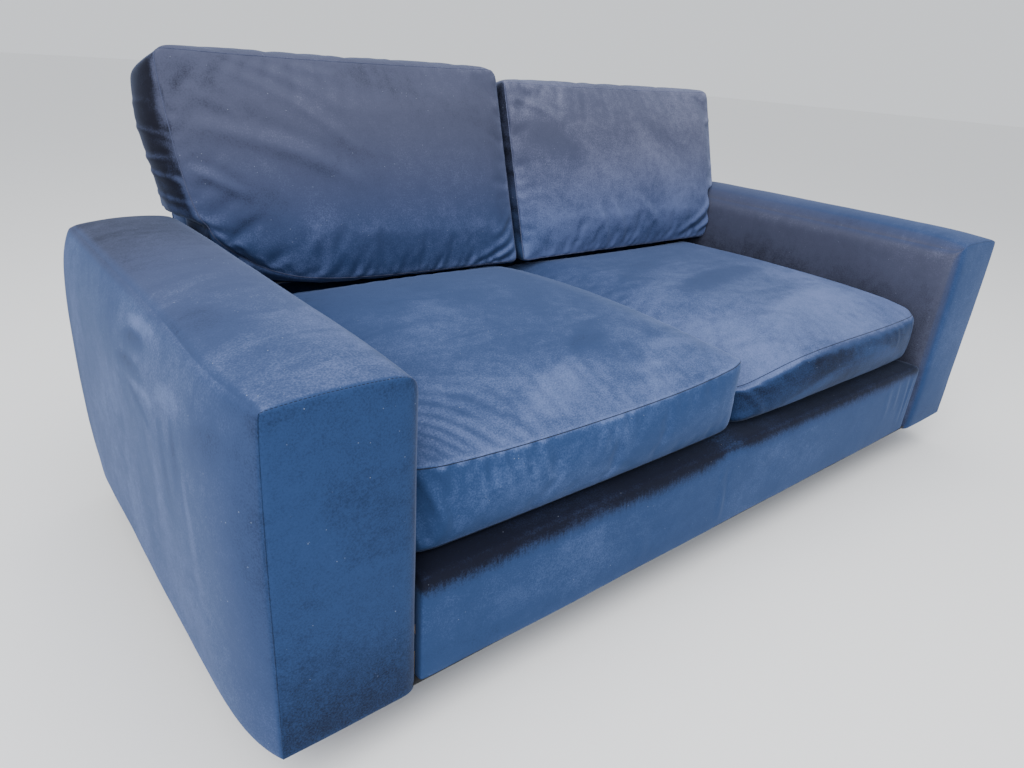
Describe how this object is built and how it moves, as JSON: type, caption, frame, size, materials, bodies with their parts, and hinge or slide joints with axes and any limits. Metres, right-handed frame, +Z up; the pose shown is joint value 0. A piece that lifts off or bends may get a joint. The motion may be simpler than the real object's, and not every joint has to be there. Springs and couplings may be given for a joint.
{
  "type": "sofa",
  "caption": "Two-seat box-arm velvet sofa with loose seat and back cushions, a raked sprung frame and tapered wooden feet.",
  "frame": {"origin": "on the floor at the centre of the sofa outline", "axes": "+Z up, the sofa faces -Y, +X to the right seen from the front"},
  "size_m": [1.9638, 1.07, 0.8858],
  "materials": {
    "deck_cloth": "plain woven lining",
    "dust_cloth": "black non-woven dust cloth",
    "fibre_pad": "white cotton-cased fibre pad",
    "foam": "polyurethane foam with a fibre wrap",
    "frame_wood": "sawn softwood and plywood",
    "leg_wood": "oiled beech, mid brown",
    "spring_steel": "dark oiled spring wire",
    "velvet": "navy velvet with a short pile",
    "webbing": "woven jute webbing",
    "zinc_steel": "bright zinc plate",
    "zip_metal": "dark enamel",
    "zip_tape": "woven polyester tape"
  },
  "bodies": {
    "sofa_frame": {"arm_bolt_nuts": "zinc_steel", "arm_bolts": "zinc_steel", "arm_bottom_board_left": "frame_wood", "arm_bottom_board_right": "frame_wood", "arm_cover_left": "velvet", "arm_cover_right": "velvet", "arm_front_board_left": "frame_wood", "arm_front_board_right": "frame_wood", "arm_inner_board_left": "frame_wood", "arm_inner_board_right": "frame_wood", "arm_outer_board_left": "frame_wood", "arm_outer_board_right": "frame_wood", "arm_padding_left": "foam", "arm_padding_right": "foam", "arm_rear_board_left": "frame_wood", "arm_rear_board_right": "frame_wood", "arm_top_board_left": "frame_wood", "arm_top_board_right": "frame_wood", "back_cover": "velvet", "back_lower_rail": "frame_wood", "back_padding": "foam", "back_posts": "frame_wood", "back_rear_cover": "velvet", "back_top_rail": "frame_wood", "back_webbing": "webbing", "base_centre_rail": "frame_wood", "base_front_cover": "velvet", "base_front_padding": "foam", "base_front_rail": "frame_wood", "base_rear_rail": "frame_wood", "base_side_rail_left": "frame_wood", "base_side_rail_right": "frame_wood", "deck_cloth": "deck_cloth", "deck_pad": "foam", "dust_cover": "dust_cloth", "foot_bolts": "zinc_steel", "foot_front_left": "leg_wood", "foot_front_right": "leg_wood", "foot_rear_left": "leg_wood", "foot_rear_right": "leg_wood", "foot_tee_nuts": "zinc_steel", "seat_springs": "spring_steel", "spring_clips": "spring_steel"},
    "seat_cushion_left": {"seat_cover_left": "velvet", "seat_foam_left": "foam", "seat_zip_left": "zip_tape"},
    "seat_cushion_right": {"seat_cover_right": "velvet", "seat_foam_right": "foam", "seat_zip_right": "zip_tape"},
    "back_cushion_left": {"back_cushion_cover_left": "velvet", "back_cushion_pad_left": "fibre_pad", "back_cushion_zip_left": "zip_tape"},
    "back_cushion_right": {"back_cushion_cover_right": "velvet", "back_cushion_pad_right": "fibre_pad", "back_cushion_zip_right": "zip_tape"},
    "seat_zip_slider_left_body": {"seat_zip_slider_left": "zip_metal"},
    "seat_zip_slider_right_body": {"seat_zip_slider_right": "zip_metal"},
    "back_zip_slider_left_body": {"back_cushion_zip_slider_left": "zip_metal"},
    "back_zip_slider_right_body": {"back_cushion_zip_slider_right": "zip_metal"}
  },
  "joints": [
    {"name": "seat_cushion_left_slide", "type": "slide", "parent": "sofa_frame", "child": "seat_cushion_left", "axis": [0, -1, 0], "range_m": [0, 0.8]},
    {"name": "seat_cushion_right_slide", "type": "slide", "parent": "sofa_frame", "child": "seat_cushion_right", "axis": [0, -1, 0], "range_m": [0, 0.8]},
    {"name": "back_cushion_left_lift", "type": "slide", "parent": "sofa_frame", "child": "back_cushion_left", "axis": [0, 0.2924, 0.9563], "range_m": [0, 0.45]},
    {"name": "back_cushion_right_lift", "type": "slide", "parent": "sofa_frame", "child": "back_cushion_right", "axis": [0, 0.2924, 0.9563], "range_m": [0, 0.45]},
    {"name": "seat_zip_left_open", "type": "slide", "parent": "seat_cushion_left", "child": "seat_zip_slider_left_body", "axis": [1, 0, 0], "range_m": [0, 0.58]},
    {"name": "seat_zip_right_open", "type": "slide", "parent": "seat_cushion_right", "child": "seat_zip_slider_right_body", "axis": [-1, 0, 0], "range_m": [0, 0.58]},
    {"name": "back_zip_left_open", "type": "slide", "parent": "back_cushion_left", "child": "back_zip_slider_left_body", "axis": [1, 0, 0], "range_m": [0, 0.54]},
    {"name": "back_zip_right_open", "type": "slide", "parent": "back_cushion_right", "child": "back_zip_slider_right_body", "axis": [-1, 0, 0], "range_m": [0, 0.54]}
  ]
}
